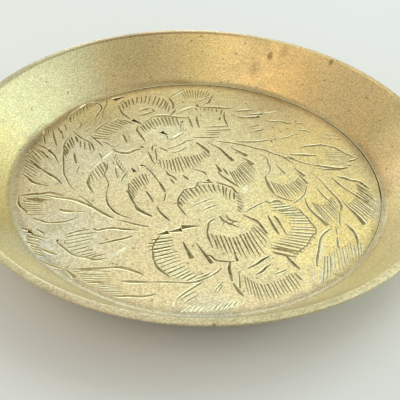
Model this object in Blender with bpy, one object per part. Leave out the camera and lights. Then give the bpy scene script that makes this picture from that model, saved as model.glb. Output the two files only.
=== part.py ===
import math

import bpy

# Round brass catchall dish in metres, +Z up. The origin is on the table, on the dish's axis.

# Driving sizes of the dish
RIM_RADIUS = 0.054          # outer edge of the lip
INSIDE_DEPTH = 0.0111       # from the lip's flat down to the floor
FLOOR_RADIUS = 0.0433       # where the wall's straight slope would meet the floor
SHEET = 0.0011              # thickness of the brass, all over
LIP_WIDTH = 0.00145         # level cut across the top of the sloping wall
EDGE_BREAK = 0.00012        # small chamfer on both edges of the lip
INNER_FILLET = 0.0028       # radius between the floor and the wall, on the inside
FACETS = 128                # flats round the dish
FILLET_STEPS = 6            # flats across each fillet

# The felt pad glued under the dish
PAD_RADIUS = 0.0385
PAD_THICKNESS = 0.0006
GLUE_LINE = 0.0003          # thin layer of glue between the felt and the brass
PAD_FACETS = 64

# Finishes: colour, roughness and metallic value
BRASS = ((0.71, 0.54, 0.17, 1.0), 0.32, 1.0)
FELT = ((0.012, 0.045, 0.022, 1.0), 0.95, 0.0)

SMOOTH_BELOW = math.radians(25)     # edges that turn less than this are shaded smooth


def clear_scene():
    for obj in list(bpy.data.objects):
        bpy.data.objects.remove(obj, do_unlink=True)


def plain_material(name, finish):
    colour, roughness, metallic = finish
    material = bpy.data.materials.new(name)
    material.use_nodes = True
    shader = material.node_tree.nodes["Principled BSDF"]
    shader.inputs["Base Color"].default_value = colour
    shader.inputs["Roughness"].default_value = roughness
    shader.inputs["Metallic"].default_value = metallic
    material.diffuse_color = colour
    return material


def corner_arc(corner, before, after, radius, steps):
    """Points of a round of the given radius, tangent to the two lines that meet at the corner."""
    to_before = (before[0] - corner[0], before[1] - corner[1])
    to_after = (after[0] - corner[0], after[1] - corner[1])
    length_before = math.hypot(*to_before)
    length_after = math.hypot(*to_after)
    u = (to_before[0] / length_before, to_before[1] / length_before)
    v = (to_after[0] / length_after, to_after[1] / length_after)
    opening = math.acos(u[0] * v[0] + u[1] * v[1])
    tangent = radius / math.tan(opening / 2)
    reach = radius / math.sin(opening / 2)
    bisector = (u[0] + v[0], u[1] + v[1])
    length = math.hypot(*bisector)
    centre = (corner[0] + bisector[0] / length * reach, corner[1] + bisector[1] / length * reach)
    start = (corner[0] + u[0] * tangent, corner[1] + u[1] * tangent)
    first = math.atan2(start[1] - centre[1], start[0] - centre[0])
    turn = math.pi - opening
    cross = u[0] * v[1] - u[1] * v[0]
    if cross > 0:
        turn = -turn
    points = []
    for step in range(steps + 1):
        angle = first + turn * step / steps
        points.append((centre[0] + radius * math.cos(angle), centre[1] + radius * math.sin(angle)))
    return points


def dish_outline():
    """Half section of the dish as (radius, height), from the axis out under it, over the lip and back in."""
    base = PAD_THICKNESS + GLUE_LINE
    floor = base + SHEET
    top = floor + INSIDE_DEPTH
    inner_rim = RIM_RADIUS - LIP_WIDTH
    slope = math.atan2(INSIDE_DEPTH, inner_rim - FLOOR_RADIUS)
    # the outer slope is the inner one moved out by the sheet, and is cut off level at the lip
    outer_foot = FLOOR_RADIUS + SHEET * math.tan(slope / 2)
    outer_lip_height = base + (RIM_RADIUS - outer_foot) * math.tan(slope)
    lip_side = min(outer_lip_height, top - EDGE_BREAK)
    floor_corner = (FLOOR_RADIUS, floor)
    base_corner = (outer_foot, base)
    under = corner_arc(base_corner, (0.0, base), (RIM_RADIUS, lip_side), INNER_FILLET + SHEET, FILLET_STEPS)
    inside = corner_arc(floor_corner, (inner_rim, top), (0.0, floor), INNER_FILLET, FILLET_STEPS)
    broken_in = inner_rim - EDGE_BREAK / math.tan(slope)
    return (
        [(0.0, base)]
        + under
        + [(RIM_RADIUS, lip_side), (RIM_RADIUS - EDGE_BREAK, top)]
        + [(inner_rim + EDGE_BREAK, top), (broken_in, top - EDGE_BREAK)]
        + inside
        + [(0.0, floor)]
    )


def pad_outline():
    """Half section of the flat felt disc."""
    return [(0.0, 0.0), (PAD_RADIUS, 0.0), (PAD_RADIUS, PAD_THICKNESS), (0.0, PAD_THICKNESS)]


def turned(name, outline, facets, material):
    """A closed solid turned round Z from a half section whose first and last points lie on the axis."""
    verts = [(0.0, 0.0, outline[0][1])]
    for step in range(facets):
        angle = 2 * math.pi * step / facets
        for radius, height in outline[1:-1]:
            verts.append((radius * math.cos(angle), radius * math.sin(angle), height))
    verts.append((0.0, 0.0, outline[-1][1]))
    rows = len(outline) - 2
    last = len(verts) - 1
    faces = []
    for step in range(facets):
        here = 1 + step * rows
        there = 1 + (step + 1) % facets * rows
        faces.append((0, there, here))
        for row in range(rows - 1):
            faces.append((here + row, there + row, there + row + 1, here + row + 1))
        faces.append((last, here + rows - 1, there + rows - 1))
    mesh = bpy.data.meshes.new(name)
    mesh.from_pydata(verts, [], faces)
    mesh.validate()
    mesh.materials.append(material)
    mesh.shade_smooth()
    mesh.set_sharp_from_angle(angle=SMOOTH_BELOW)
    obj = bpy.data.objects.new(name, mesh)
    bpy.context.scene.collection.objects.link(obj)
    return obj


def make_dish_body():
    material = plain_material("satin_brass", BRASS)
    return turned("dish_body", dish_outline(), FACETS, material)


def make_felt_pad():
    material = plain_material("green_felt", FELT)
    return turned("felt_pad", pad_outline(), PAD_FACETS, material)


clear_scene()
make_dish_body()
make_felt_pad()
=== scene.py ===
import math
import random

import bmesh
import bpy
from mathutils import Matrix, Vector, kdtree


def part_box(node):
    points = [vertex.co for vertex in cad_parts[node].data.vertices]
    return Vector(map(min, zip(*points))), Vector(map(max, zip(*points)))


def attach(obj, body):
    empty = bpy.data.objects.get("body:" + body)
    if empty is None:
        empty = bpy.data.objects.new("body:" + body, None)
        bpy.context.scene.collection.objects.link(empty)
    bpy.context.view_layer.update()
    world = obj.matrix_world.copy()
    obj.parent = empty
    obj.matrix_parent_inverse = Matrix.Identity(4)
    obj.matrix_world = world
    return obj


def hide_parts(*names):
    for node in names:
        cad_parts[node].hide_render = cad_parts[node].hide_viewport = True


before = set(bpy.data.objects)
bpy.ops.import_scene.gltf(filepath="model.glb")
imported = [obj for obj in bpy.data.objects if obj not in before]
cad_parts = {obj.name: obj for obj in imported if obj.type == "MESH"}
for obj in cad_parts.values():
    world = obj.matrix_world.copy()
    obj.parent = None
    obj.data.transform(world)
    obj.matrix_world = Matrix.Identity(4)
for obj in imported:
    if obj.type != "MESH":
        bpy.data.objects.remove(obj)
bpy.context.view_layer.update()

mm = 0.001
dishLow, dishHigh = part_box("dish_body")
feltLow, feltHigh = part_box("felt_pad")
print("frame loaded, dish", round((dishHigh.x - dishLow.x) / mm, 1), "mm across")


# Small helpers for modelling

def deselectAll():
    if bpy.context.object and bpy.context.object.mode != "OBJECT":
        bpy.ops.object.mode_set(mode="OBJECT")
    bpy.ops.object.select_all(action="DESELECT")


def pick(piece):
    deselectAll()
    piece.select_set(True)
    bpy.context.view_layer.objects.active = piece


def editAll(piece):
    pick(piece)
    bpy.ops.object.mode_set(mode="EDIT")
    bpy.ops.mesh.select_all(action="SELECT")


def closeEdit():
    bpy.ops.mesh.select_all(action="SELECT")
    bpy.ops.mesh.normals_make_consistent(inside=False)
    bpy.ops.object.mode_set(mode="OBJECT")


def addObject(name, data):
    added = bpy.data.objects.new(name, data)
    bpy.context.scene.collection.objects.link(added)
    return added


def extrudeCap(fromRing, toRing):
    # the selected round cap is pulled up or down and drawn in or out, as one more ring of the turned shape
    scale = toRing[0] / fromRing[0]
    bpy.ops.mesh.extrude_region_move(TRANSFORM_OT_translate={"value": (0, 0, toRing[1] - fromRing[1])})
    bpy.ops.transform.resize(value=(scale, scale, 1), center_override=(0, 0, toRing[1]))


def turnedPiece(name, rings, steps):
    # starts as a round disc under the piece and ends as the disc on top of it
    deselectAll()
    bpy.ops.mesh.primitive_circle_add(
        vertices=steps, radius=rings[0][0], fill_type="NGON", location=(0, 0, rings[0][1]))
    piece = bpy.context.object
    piece.name = name
    piece.data.name = name
    bpy.ops.object.transform_apply(location=True, rotation=True, scale=True)
    editAll(piece)
    for fromRing, toRing in zip(rings, rings[1:]):
        extrudeCap(fromRing, toRing)
    closeEdit()
    return piece


def roundCorner(before, corner, after, radius, steps):
    # points of the arc that rounds a corner of a section, tangent to both of its lines
    corner = Vector(corner)
    toBefore = (Vector(before) - corner).normalized()
    toAfter = (Vector(after) - corner).normalized()
    opening = toBefore.angle(toAfter)
    centre = corner + (toBefore + toAfter).normalized() * radius / math.sin(opening / 2)
    start = corner + toBefore * radius / math.tan(opening / 2) - centre
    turn = math.pi - opening
    if toBefore.x * toAfter.y - toBefore.y * toAfter.x > 0:
        turn = -turn
    arc = []
    for step in range(steps + 1):
        angle = turn * step / steps
        x = start.x * math.cos(angle) - start.y * math.sin(angle)
        y = start.x * math.sin(angle) + start.y * math.cos(angle)
        arc.append((centre.x + x, centre.y + y))
    return arc


# The dish: one turned solid, before the engraving

dish = {
    "sheet": 1.1 * mm,
    "floorRadius": 43.3 * mm,       # where the wall's straight slope would meet the floor
    "lipWidth": 1.45 * mm,
    "lipRound": 0.26 * mm,
    "lipOutShare": 0.9,             # the lip's outer edge is a little sharper than its inner one
    "innerFillet": 2.8 * mm,
    "filletSteps": 12,
    "lipSteps": 4,
    "wallSteps": 5,                 # rings up the wall keep its shading even
    "steps": 256,
    "floorBand": 0.25 * mm,         # a narrow flat ring inside the fillet keeps the floor's shading flat
    "smooth": math.radians(24),
}
rimRadius = dishHigh.x
floorHeight = dishLow.z + dish["sheet"]
insideDepth = dishHigh.z - floorHeight
innerRim = rimRadius - dish["lipWidth"]
wallSlope = math.atan2(insideDepth, innerRim - dish["floorRadius"])
filletStart = dish["floorRadius"] - dish["innerFillet"] * math.tan(wallSlope / 2)
filletReach = dish["innerFillet"] * math.sin(wallSlope)


def insideHeight(radius):
    # height of the inside surface at that distance from the axis
    beyond = radius - filletStart
    if beyond <= 0:
        return floorHeight
    if beyond <= filletReach:
        return floorHeight + dish["innerFillet"] - math.sqrt(dish["innerFillet"] ** 2 - beyond ** 2)
    onSlope = dish["innerFillet"] * (1 - math.cos(wallSlope)) + (beyond - filletReach) * math.tan(wallSlope)
    return floorHeight + onSlope


def dishRings():
    outerFoot = dish["floorRadius"] + dish["sheet"] * math.tan(wallSlope / 2)
    lipSide = min(dishLow.z + (rimRadius - outerFoot) * math.tan(wallSlope), dishHigh.z - dish["lipRound"])
    under, foot, side = (0, dishLow.z), (outerFoot, dishLow.z), (rimRadius, lipSide)
    lipCorner, innerCorner = (rimRadius, dishHigh.z), (innerRim, dishHigh.z)
    wallFoot = (dish["floorRadius"], floorHeight)
    broken, steps = dish["lipRound"], dish["lipSteps"]
    rings = roundCorner(under, foot, side, dish["innerFillet"] + dish["sheet"], dish["filletSteps"])
    rings.append(side)
    rings += roundCorner(side, lipCorner, innerCorner, broken * dish["lipOutShare"], steps)
    rings += roundCorner(lipCorner, innerCorner, wallFoot, broken, steps)
    # down the wall and round the fillet to the floor
    wallEnd = filletStart + filletReach
    for start, end, steps in ((rings[-1][0], wallEnd, dish["wallSteps"]),
                              (wallEnd, filletStart, dish["filletSteps"])):
        for step in range(1, steps + 1):
            radius = start + (end - start) * step / steps
            rings.append((radius, insideHeight(radius)))
    rings.append((filletStart - dish["floorBand"], floorHeight))
    return rings


dishPiece = turnedPiece("engraved_dish", dishRings(), dish["steps"])
print("dish turned,", len(dishPiece.data.polygons), "faces")


# Camera: the photo's viewing angle, measured from the rim's centre

camera = {
    "distance": 148.7 * mm,
    "elevation": math.radians(34.38),
    "yaw": 0.004,
    "pitch": -0.0964,               # the view is tipped down a little from the rim's centre
    "roll": math.radians(2.68),
    "lens": 59.18,
    "sensor": 36,
    "clip": (5 * mm, 10),
}


def makeCamera():
    back = Vector((0, -math.cos(camera["elevation"]), math.sin(camera["elevation"])))
    right = Vector((1, 0, 0))
    up = back.cross(right)
    level = right * math.sin(camera["yaw"]) - back * math.cos(camera["yaw"])
    ahead = level * math.cos(camera["pitch"]) + up * math.sin(camera["pitch"])
    right = ahead.cross(up).normalized()
    up = right.cross(ahead)
    roll = Matrix.Rotation(-camera["roll"], 3, ahead)
    turned = Matrix((roll @ right, roll @ up, -ahead)).transposed().to_4x4()
    data = bpy.data.cameras.new("camera")
    data.lens = camera["lens"]
    data.sensor_width = camera["sensor"]
    data.clip_start, data.clip_end = camera["clip"]
    view = addObject("camera", data)
    view.matrix_world = Matrix.Translation(Vector((0, 0, dishHigh.z)) + back * camera["distance"]) @ turned
    bpy.context.scene.camera = view


makeCamera()
print("camera set")


# Helpers for materials

def newMaterial(name, colour, roughness, metallic):
    material = bpy.data.materials.new(name)
    material.use_nodes = True
    material.diffuse_color = (*colour, 1)
    shader = material.node_tree.nodes["Principled BSDF"]
    shader.inputs["Base Color"].default_value = (*colour, 1)
    shader.inputs["Roughness"].default_value = roughness
    shader.inputs["Metallic"].default_value = metallic
    return material, material.node_tree, shader


def plug(tree, value, socket):
    if isinstance(value, bpy.types.NodeSocket):
        tree.links.new(value, socket)
    elif socket.type == "RGBA":
        socket.default_value = (*value, 1)
    else:
        socket.default_value = value


def addNode(tree, kind, inputs=(), **settings):
    node = tree.nodes.new(kind)
    for key, value in settings.items():
        setattr(node, key, value)
    for key, value in dict(inputs).items():
        plug(tree, value, node.inputs[key])
    return node


def objectPlace(tree):
    return addNode(tree, "ShaderNodeTexCoord").outputs["Object"]


def split(tree, vector):
    return addNode(tree, "ShaderNodeSeparateXYZ", {0: vector}).outputs


def mathNode(tree, operation, first, second):
    return addNode(tree, "ShaderNodeMath", {0: first, 1: second}, operation=operation).outputs[0]


def product(tree, share, *others):
    for other in others:
        share = mathNode(tree, "MULTIPLY", share, other)
    return share


def vectorNode(tree, operation, first, second=(0, 0, 0)):
    return addNode(tree, "ShaderNodeVectorMath", {0: first, 1: second}, operation=operation).outputs["Value"]


def noise(tree, vector, scale, detail, roughness):
    return addNode(tree, "ShaderNodeTexNoise", {"Vector": vector, "Scale": scale, "Detail": detail,
                                                "Roughness": roughness}).outputs["Fac"]


def remap(tree, value, low, high, toLow=0.0, toHigh=1.0):
    return addNode(tree, "ShaderNodeMapRange",
                   {"Value": value, "From Min": low, "From Max": high, "To Min": toLow, "To Max": toHigh},
                   interpolation_type="SMOOTHSTEP").outputs[0]


def mixColour(tree, share, first, second, blend="MIX"):
    node = addNode(tree, "ShaderNodeMix", data_type="RGBA", blend_type=blend)
    plug(tree, share, node.inputs[0])
    plug(tree, first, node.inputs[6])
    plug(tree, second, node.inputs[7])
    return node.outputs[2]


def roughen(tree, shader, height, depth, strength=1.0):
    # one more bump over those that the shader has already
    bump = addNode(tree, "ShaderNodeBump", {"Height": height, "Strength": strength, "Distance": depth})
    for link in tuple(shader.inputs["Normal"].links):
        tree.links.new(link.from_socket, bump.inputs["Normal"])
    tree.links.new(bump.outputs[0], shader.inputs["Normal"])


# The brass

brass = {
    "clean": (0.78, 0.63, 0.35),
    "golden": (0.86, 0.615, 0.285),       # the far wall, golden with painted warm reflection
    "amber": (0.80, 0.525, 0.20),         # the deepest painted warm reflection, low on the far wall
    "beige": (0.76, 0.635, 0.385),        # the near wall and the right one
    "lemon": (0.74, 0.655, 0.36),         # the left wall, with painted pale reflection
    "straw": (0.90, 0.70, 0.285),
    "pale": (0.90, 0.80, 0.45),
    "rose": (0.83, 0.635, 0.41),          # faint coppery mottling
    "olive": (0.52, 0.43, 0.205),         # thin tarnish
    "haze": (0.75, 0.68, 0.50),           # chalky traces of polish
    "brown": (0.25, 0.165, 0.065),        # stains, specks, and old polish with painted shade in the crease
    "roughness": 0.40,
    # the middle of the sheet: its height over the underside, where its slope starts, and how steep that is
    "sheetMiddle": (0.6 * mm, 43.5 * mm, 1.2),
    "faceBlend": 0.1 * mm,
    "wall": (42.2 * mm, 43.6 * mm),       # the floor's colours give way to the wall's there
    "drift": 22 * mm,                     # how far the walls' colours wander into each other
    "back": (-8 * mm, 22 * mm),           # painted warm reflection: golden grows over beige from front to back
    "leftPaleReflection": (-21 * mm, -41 * mm),       # painted pale reflection: lemon grows over both to the left
    "farLeft": (-0.5, 0.87, 0),           # directions over the dish, seen from above
    "farRight": (0.77, 0.64, 0),
    "right": (0.98, -0.2, 0),
}

# noises in the brass: scale, detail and roughness, then what each does over its range
patterns = {
    "blotch": (42, 5.0, 0.62),
    "fine": (378, 4.0, 0.7),
    "mottle": (330, 4.0, 0.7),
    "grain": (2700, 3.0, 0.65),           # grain and specks under half a millimetre across
    "brush": (1.0, 3.0, 0.6),
    "mottleRose": (0.42, 0.70, 0.0, 0.4),
    "blotchOlive": (0.42, 0.78, 0.0, 0.45),
    "fineOlive": (0.52, 0.80, 0.0, 0.3),
    "ragged": (0.3, 0.7, 0.75, 1.25),     # uneven outlines of the stains
    "grainShade": (0.36, 0.64, 1.12, 0.70),
    "grainDepth": 0.036 * mm,
    "blotchRough": (0.3, 0.75, -0.05, 0.09),
    "fineRough": (0.3, 0.75, -0.03, 0.05),
    "speckScale": 330,                    # one speck can lie in each 3 mm or so
    "speck": (0.05, 0.13, 0.75, 0.0),
    "rings": 2400.0,                      # marks from turning, along the radius
    "brushScales": (150.0, 260.0),        # short brush marks, round the axis and along the radius
    "markDepth": 0.012 * mm,
}

# tarnish and stains on the inside, and some painted warm reflection: where, middle seen from above and
# radius in mm, the share of the radius that stays hard, how much of the stain shows, and its colour
stains = [
    ("wall", (-21, 47), 14, 0.2, 0.4, "olive"),
    ("wall", (16.5, 44.5), 17, 0.3, 0.42, "olive"),
    ("wall", (0, 48), 12, 0.2, 0.55, "straw"),
    ("wall", (-35, 33), 12, 0.2, 0.5, "pale"),
    ("floor", (-29, 25), 12, 0.2, 0.45, "olive"),
    ("floor", (-29, 6), 18, 0.3, 0.4, "haze"),
    ("floor", (-14, 24), 12, 0.2, 0.4, "pale"),
    ("floor", (21, 35), 10, 0.1, 0.5, "olive"),
    ("floor", (17, -8), 30, 0.3, 0.5, "pale"),
    ("floor", (-2, 29), 22, 0.4, 0.6, "pale"),
    ("floor", (27, 14), 17, 0.25, 0.65, "straw"),
    ("floor", (31, -14), 27, 0.25, 0.8, "straw"),
    ("floor", (-29, -24), 17, 0.2, 0.65, "haze"),
    ("floor", (-30, 8), 6, 0.1, 0.45, "haze"),
    ("floor", (-9, 18), 8, 0.1, 0.35, "haze"),
    ("floor", (-30, -20), 3.2, 0.1, 0.5, "olive"),
    ("wall", (-49, -7), 24, 0.35, 0.6, "straw"),
    # painted warm reflection on the far right wall: golden and amber patches
    ("wall", (32, 38), 24, 0.3, 0.6, "golden"),
    ("wall", (22.5, 38), 14, 0.2, 0.5, "amber"),
    ("wall", (40.5, 18.5), 9, 0.2, 0.4, "amber"),
    ("wall", (48, 13), 12, 0.3, 0.6, "olive"),
    ("wall", (46.5, -10), 9, 0.3, 0.65, "pale"),
    ("wall", (24, -45), 32, 0.5, 0.35, "olive"),
    ("inside", (-33.5, -28), 7.5, 0.3, 0.85, "haze"),
    ("wall", (18.6, 46.3), 1.05, 0.35, 0.75, "brown"),
    ("wall", (34.5, 39.1), 1.0, 0.3, 0.7, "brown"),
    ("wall", (22.4, 46.2), 1.9, 0.1, 0.4, "brown"),
    ("wall", (14.4, 44.9), 2.7, 0.1, 0.42, "brown"),
    ("floor", (40.5, -9), 6, 0.3, 0.55, "haze"),
    ("floor", (-31.5, 31.5), 7, 0.3, 0.5, "haze"),
    ("inside", (3, -42.5), 8, 0.3, 0.5, "haze"),
]

# old polish and dirt along the foot of the wall behind, with painted shade there, widest and darkest on the
# left of that
crease = {
    "inner": (39.2 * mm, 42.1 * mm),
    "outer": (43.9 * mm, 42.5 * mm),
    "wider": (37 * mm, 42 * mm, 0.0, 0.5 * mm),
    "darker": (34 * mm, 42 * mm, 1.0, 1.3),
    "behind": (-6 * mm, 14 * mm, 0.1, 1.0),
    "uneven": (0.3, 0.7, 0.52, 0.72),
}

# painted shade on the brass: how much is left of red, green and blue, on what, and ramps in mm from nothing
# to full shade
lipRamps = [("drop", -0.5, -0.25), ("radius", 51.8, 52.2)]
paintedShade = {
    "foot": ((0.65, 0.64, 0.67), "inside",
             [("radius", 40.3, 43), ("radius", 44.3, 43.3), ("farRight", 36, 24), ("away", 20, 4)]),
    "rightFoot": ((0.94, 0.88, 0.84), "inside",
                  [("radius", 42.5, 43.2), ("radius", 45, 44), ("right", 32, 40)]),
    "nearWall": ((0.76, 0.75, 0.76), "underLip", [("away", -38, -46), ("radius", 43.4, 44.4)]),
    "farLip": ((0.62, 0.56, 0.55), "lip", [("farLeft", 32, 45)]),
    "nearLip": ((0.84, 0.84, 0.84), "lip", [("away", -42, -50)]),
}


def rampShare(tree, along, share, ramps):
    for way, start, full in ramps:
        share = product(tree, share, remap(tree, along[way], start * mm, full * mm))
    return share


def dishPlaces(tree, parts):
    # the ways to measure along the dish, and the share of each of its places
    flat = addNode(tree, "ShaderNodeCombineXYZ", {0: parts[0], 1: parts[1]}).outputs[0]
    along = {"across": parts[0], "away": parts[1], "flat": flat, "radius": vectorNode(tree, "LENGTH", flat),
             "drop": mathNode(tree, "SUBTRACT", parts[2], dishHigh.z)}
    for way in ("farLeft", "farRight", "right"):
        along[way] = vectorNode(tree, "DOT_PRODUCT", flat, brass[way])

    # the middle of the sheet, as a height over the radius, parts the inside from the underside
    overUnderside, slopeStart, steepness = brass["sheetMiddle"]
    slope = product(tree, mathNode(tree, "SUBTRACT", along["radius"], slopeStart), steepness)
    middle = mathNode(tree, "MAXIMUM", dishLow.z + overUnderside, slope)
    blend = brass["faceBlend"]
    inside = remap(tree, mathNode(tree, "SUBTRACT", parts[2], middle), -blend, blend)
    outward = remap(tree, along["radius"], *brass["wall"])
    lip = rampShare(tree, along, 1.0, lipRamps)
    shares = {
        "inside": inside,
        "outward": outward,
        "wall": product(tree, inside, outward),
        "floor": product(tree, inside, mathNode(tree, "SUBTRACT", 1.0, outward)),
        "lip": lip,
        "underLip": product(tree, inside, mathNode(tree, "SUBTRACT", 1.0, lip)),
    }
    return along, shares


def brassColour(tree, place, along, shares):
    blotch, fine, mottle, grain = (noise(tree, place, *patterns[name])
                                   for name in ("blotch", "fine", "mottle", "grain"))
    drift = product(tree, mathNode(tree, "SUBTRACT", blotch, 0.5), brass["drift"])
    # painted reflection on the walls: warm golden towards the back, pale lemon to the left
    back = remap(tree, mathNode(tree, "ADD", along["away"], drift), *brass["back"])
    leftPaleReflection = remap(tree, mathNode(tree, "ADD", along["across"], drift), *brass["leftPaleReflection"])
    wallColour = mixColour(tree, back, brass["beige"], brass["golden"])
    wallColour = mixColour(tree, leftPaleReflection, wallColour, brass["lemon"])
    colour = mixColour(tree, shares["outward"], brass["clean"], wallColour)
    for pattern, use, tint in ((mottle, "mottleRose", "rose"), (blotch, "blotchOlive", "olive"),
                               (fine, "fineOlive", "olive")):
        colour = mixColour(tree, remap(tree, pattern, *patterns[use]), colour, brass[tint])

    ragged = remap(tree, fine, *patterns["ragged"])
    for where, (x, y), radius, hard, strength, tint in stains:
        distance = product(tree, vectorNode(tree, "DISTANCE", along["flat"], (x * mm, y * mm, 0)), ragged)
        share = remap(tree, distance, radius * hard * mm, radius * mm, strength, 0.0)
        colour = mixColour(tree, product(tree, share, shares[where]), colour, brass[tint])

    # dirt and painted shade in the crease behind
    wider = remap(tree, along["farLeft"], *crease["wider"])
    creaseDirtAndShade = product(
        tree, shares["inside"], remap(tree, along["radius"], *crease["inner"]),
        remap(tree, mathNode(tree, "SUBTRACT", along["radius"], wider), *crease["outer"]),
        remap(tree, blotch, *crease["uneven"]), remap(tree, along["farLeft"], *crease["darker"]),
        remap(tree, along["away"], *crease["behind"]))
    colour = mixColour(tree, creaseDirtAndShade, colour, brass["brown"])
    # painted shade: the foot, the near wall and the lip darkened by place
    for left, where, ramps in paintedShade.values():
        colour = mixColour(tree, rampShare(tree, along, shares[where], ramps), colour, left, "MULTIPLY")

    # dark specks here and there, and the grain over everything
    cells = addNode(tree, "ShaderNodeTexVoronoi", {"Vector": place, "Scale": patterns["speckScale"]})
    speck = remap(tree, cells.outputs["Distance"], *patterns["speck"])
    colour = mixColour(tree, speck, colour, brass["brown"])
    shade = remap(tree, grain, *patterns["grainShade"])
    colour = addNode(tree, "ShaderNodeVectorMath", {0: colour, "Scale": shade}, operation="SCALE").outputs[0]
    return colour, blotch, fine, grain


def makeBrass():
    material, tree, shader = newMaterial("worn_brass", brass["clean"], brass["roughness"], 1.0)
    place = objectPlace(tree)
    parts = split(tree, place)
    along, shares = dishPlaces(tree, parts)
    colour, blotch, fine, grain = brassColour(tree, place, along, shares)
    tree.links.new(colour, shader.inputs["Base Color"])
    rough = mathNode(tree, "ADD", remap(tree, blotch, *patterns["blotchRough"]),
                     remap(tree, fine, *patterns["fineRough"]))
    tree.links.new(mathNode(tree, "ADD", rough, brass["roughness"]), shader.inputs["Roughness"])

    # fine grain everywhere, rings from turning on the wall, and short brush marks across them
    angle = mathNode(tree, "ARCTAN2", parts[1], parts[0])
    rings = addNode(tree, "ShaderNodeTexNoise",
                    {"W": product(tree, along["radius"], patterns["rings"]), "Scale": 1.0, "Detail": 2.0},
                    noise_dimensions="1D").outputs["Fac"]
    roundScale, outScale = patterns["brushScales"]
    brushPlace = addNode(tree, "ShaderNodeCombineXYZ",
                         {0: product(tree, angle, roundScale), 1: product(tree, along["radius"], outScale)})
    brush = noise(tree, brushPlace.outputs[0], *patterns["brush"])
    marks = product(tree, mathNode(tree, "ADD", rings, brush), shares["outward"])
    roughen(tree, shader, grain, patterns["grainDepth"])
    roughen(tree, shader, marks, patterns["markDepth"])
    return material


# The sorts of cut

groove = {
    "patches": (1000, 4.0, 0.75),
    "grain": (3500, 2.0, 0.6),
    "grainDepth": 0.03 * mm,
    "nearPaler": (-38 * mm, -22 * mm, 0.14, 0.0),       # the cuts on the near side are worn paler
    "blend": (0.36, 0.68),
    "hardShare": 0.3,
}

# each sort of cut: its dark colour, its pale one and its roughness
cuts = {
    "tarnished_cut": ((0.22, 0.165, 0.065), (0.50, 0.405, 0.19), 0.48),
    # pale cuts: bright cut metal with painted glints where the engraving sparkles
    "fresh_cut_and_glint": ((0.60, 0.53, 0.33), (0.88, 0.80, 0.56), 0.38),
    # worn edges of the cuts, also used for the painted glints
    "worn_edge_and_glint": ((0.78, 0.67, 0.39), (0.88, 0.80, 0.54), 0.30),
    "black_cut": ((0.085, 0.055, 0.022), (0.17, 0.12, 0.05), 0.55),
}

# where the cuts are worn paler, or have stayed darker: middle and radius in mm, and how much paler
wornPlaces = [
    ((27, -19), 12, 0.16),
    ((19, 1), 13, 0.12),
    ((-5, 23), 12, 0.12),
    ((-27, -8), 11, 0.12),
    ((-28, -27), 9, 0.12),
    ((1, -9), 7, 0.10),
    ((9, -22), 9, 0.12),
    ((-24, 5), 9, 0.10),
    ((32, -8), 9, 0.10),
    ((-5, -20), 8, -0.14),
    ((9, -26), 10, -0.12),
]


def makeGroove(name, dark, pale, roughness):
    material, tree, shader = newMaterial(name, dark, roughness, 1.0)
    place = objectPlace(tree)
    wear = mathNode(tree, "ADD", noise(tree, place, *groove["patches"]),
                    remap(tree, split(tree, place)[1], *groove["nearPaler"]))
    for (x, y), radius, paler in wornPlaces:
        distance = vectorNode(tree, "DISTANCE", place, (x * mm, y * mm, floorHeight))
        worn = remap(tree, distance, radius * groove["hardShare"] * mm, radius * mm, paler, 0.0)
        wear = mathNode(tree, "ADD", wear, worn)
    colour = mixColour(tree, remap(tree, wear, *groove["blend"]), dark, pale)
    tree.links.new(colour, shader.inputs["Base Color"])
    roughen(tree, shader, noise(tree, place, *groove["grain"]), groove["grainDepth"])
    return material


# The felt

felt = {
    "colour": (0.013, 0.047, 0.024),
    "fibre": (0.035, 0.095, 0.052),
    "roughness": 0.96,
    "sheen": 0.35,
    "sheenRoughness": 0.5,
    "fibres": (1400, 5.0, 0.75),
    "cloud": (110, 3.0, 0.6),
    "fibreShare": (0.40, 0.72),
    "cloudShare": (0.2, 0.8, 0.35, 1.0),
    "nap": 0.12 * mm,
    "napStrength": 0.8,
    "edgeRound": 0.14 * mm,
    "edgeSteps": 3,
    "capShare": 0.5,                # the turned disc starts and ends with a cap this wide
    "steps": 160,
    "smooth": math.radians(40),
}


def makeFeltMaterial():
    material, tree, shader = newMaterial("pressed_felt", felt["colour"], felt["roughness"], 0.0)
    shader.inputs["Sheen Weight"].default_value = felt["sheen"]
    shader.inputs["Sheen Roughness"].default_value = felt["sheenRoughness"]
    place = objectPlace(tree)
    fibres = noise(tree, place, *felt["fibres"])
    share = product(tree, remap(tree, fibres, *felt["fibreShare"]),
                    remap(tree, noise(tree, place, *felt["cloud"]), *felt["cloudShare"]))
    colour = mixColour(tree, share, felt["colour"], felt["fibre"])
    tree.links.new(colour, shader.inputs["Base Color"])
    roughen(tree, shader, fibres, felt["nap"], felt["napStrength"])
    return material


# the dish's material slots: plain brass, then the sorts of cut
dishMaterials = [makeBrass()] + [makeGroove(name, *look) for name, look in cuts.items()]
darkCut, freshCutAndGlint, wornEdgeAndGlint, blackCut = 1, 2, 3, 4
for material in dishMaterials:
    dishPiece.data.materials.append(material)
feltMaterial = makeFeltMaterial()
print("materials made")


# The engraving: flowers and leaves in millimetres on the floor, x to the right and y away from the viewer.
# Each line is its widest cut and its points. A hatch runs its strokes from one edge to the other.

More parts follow.
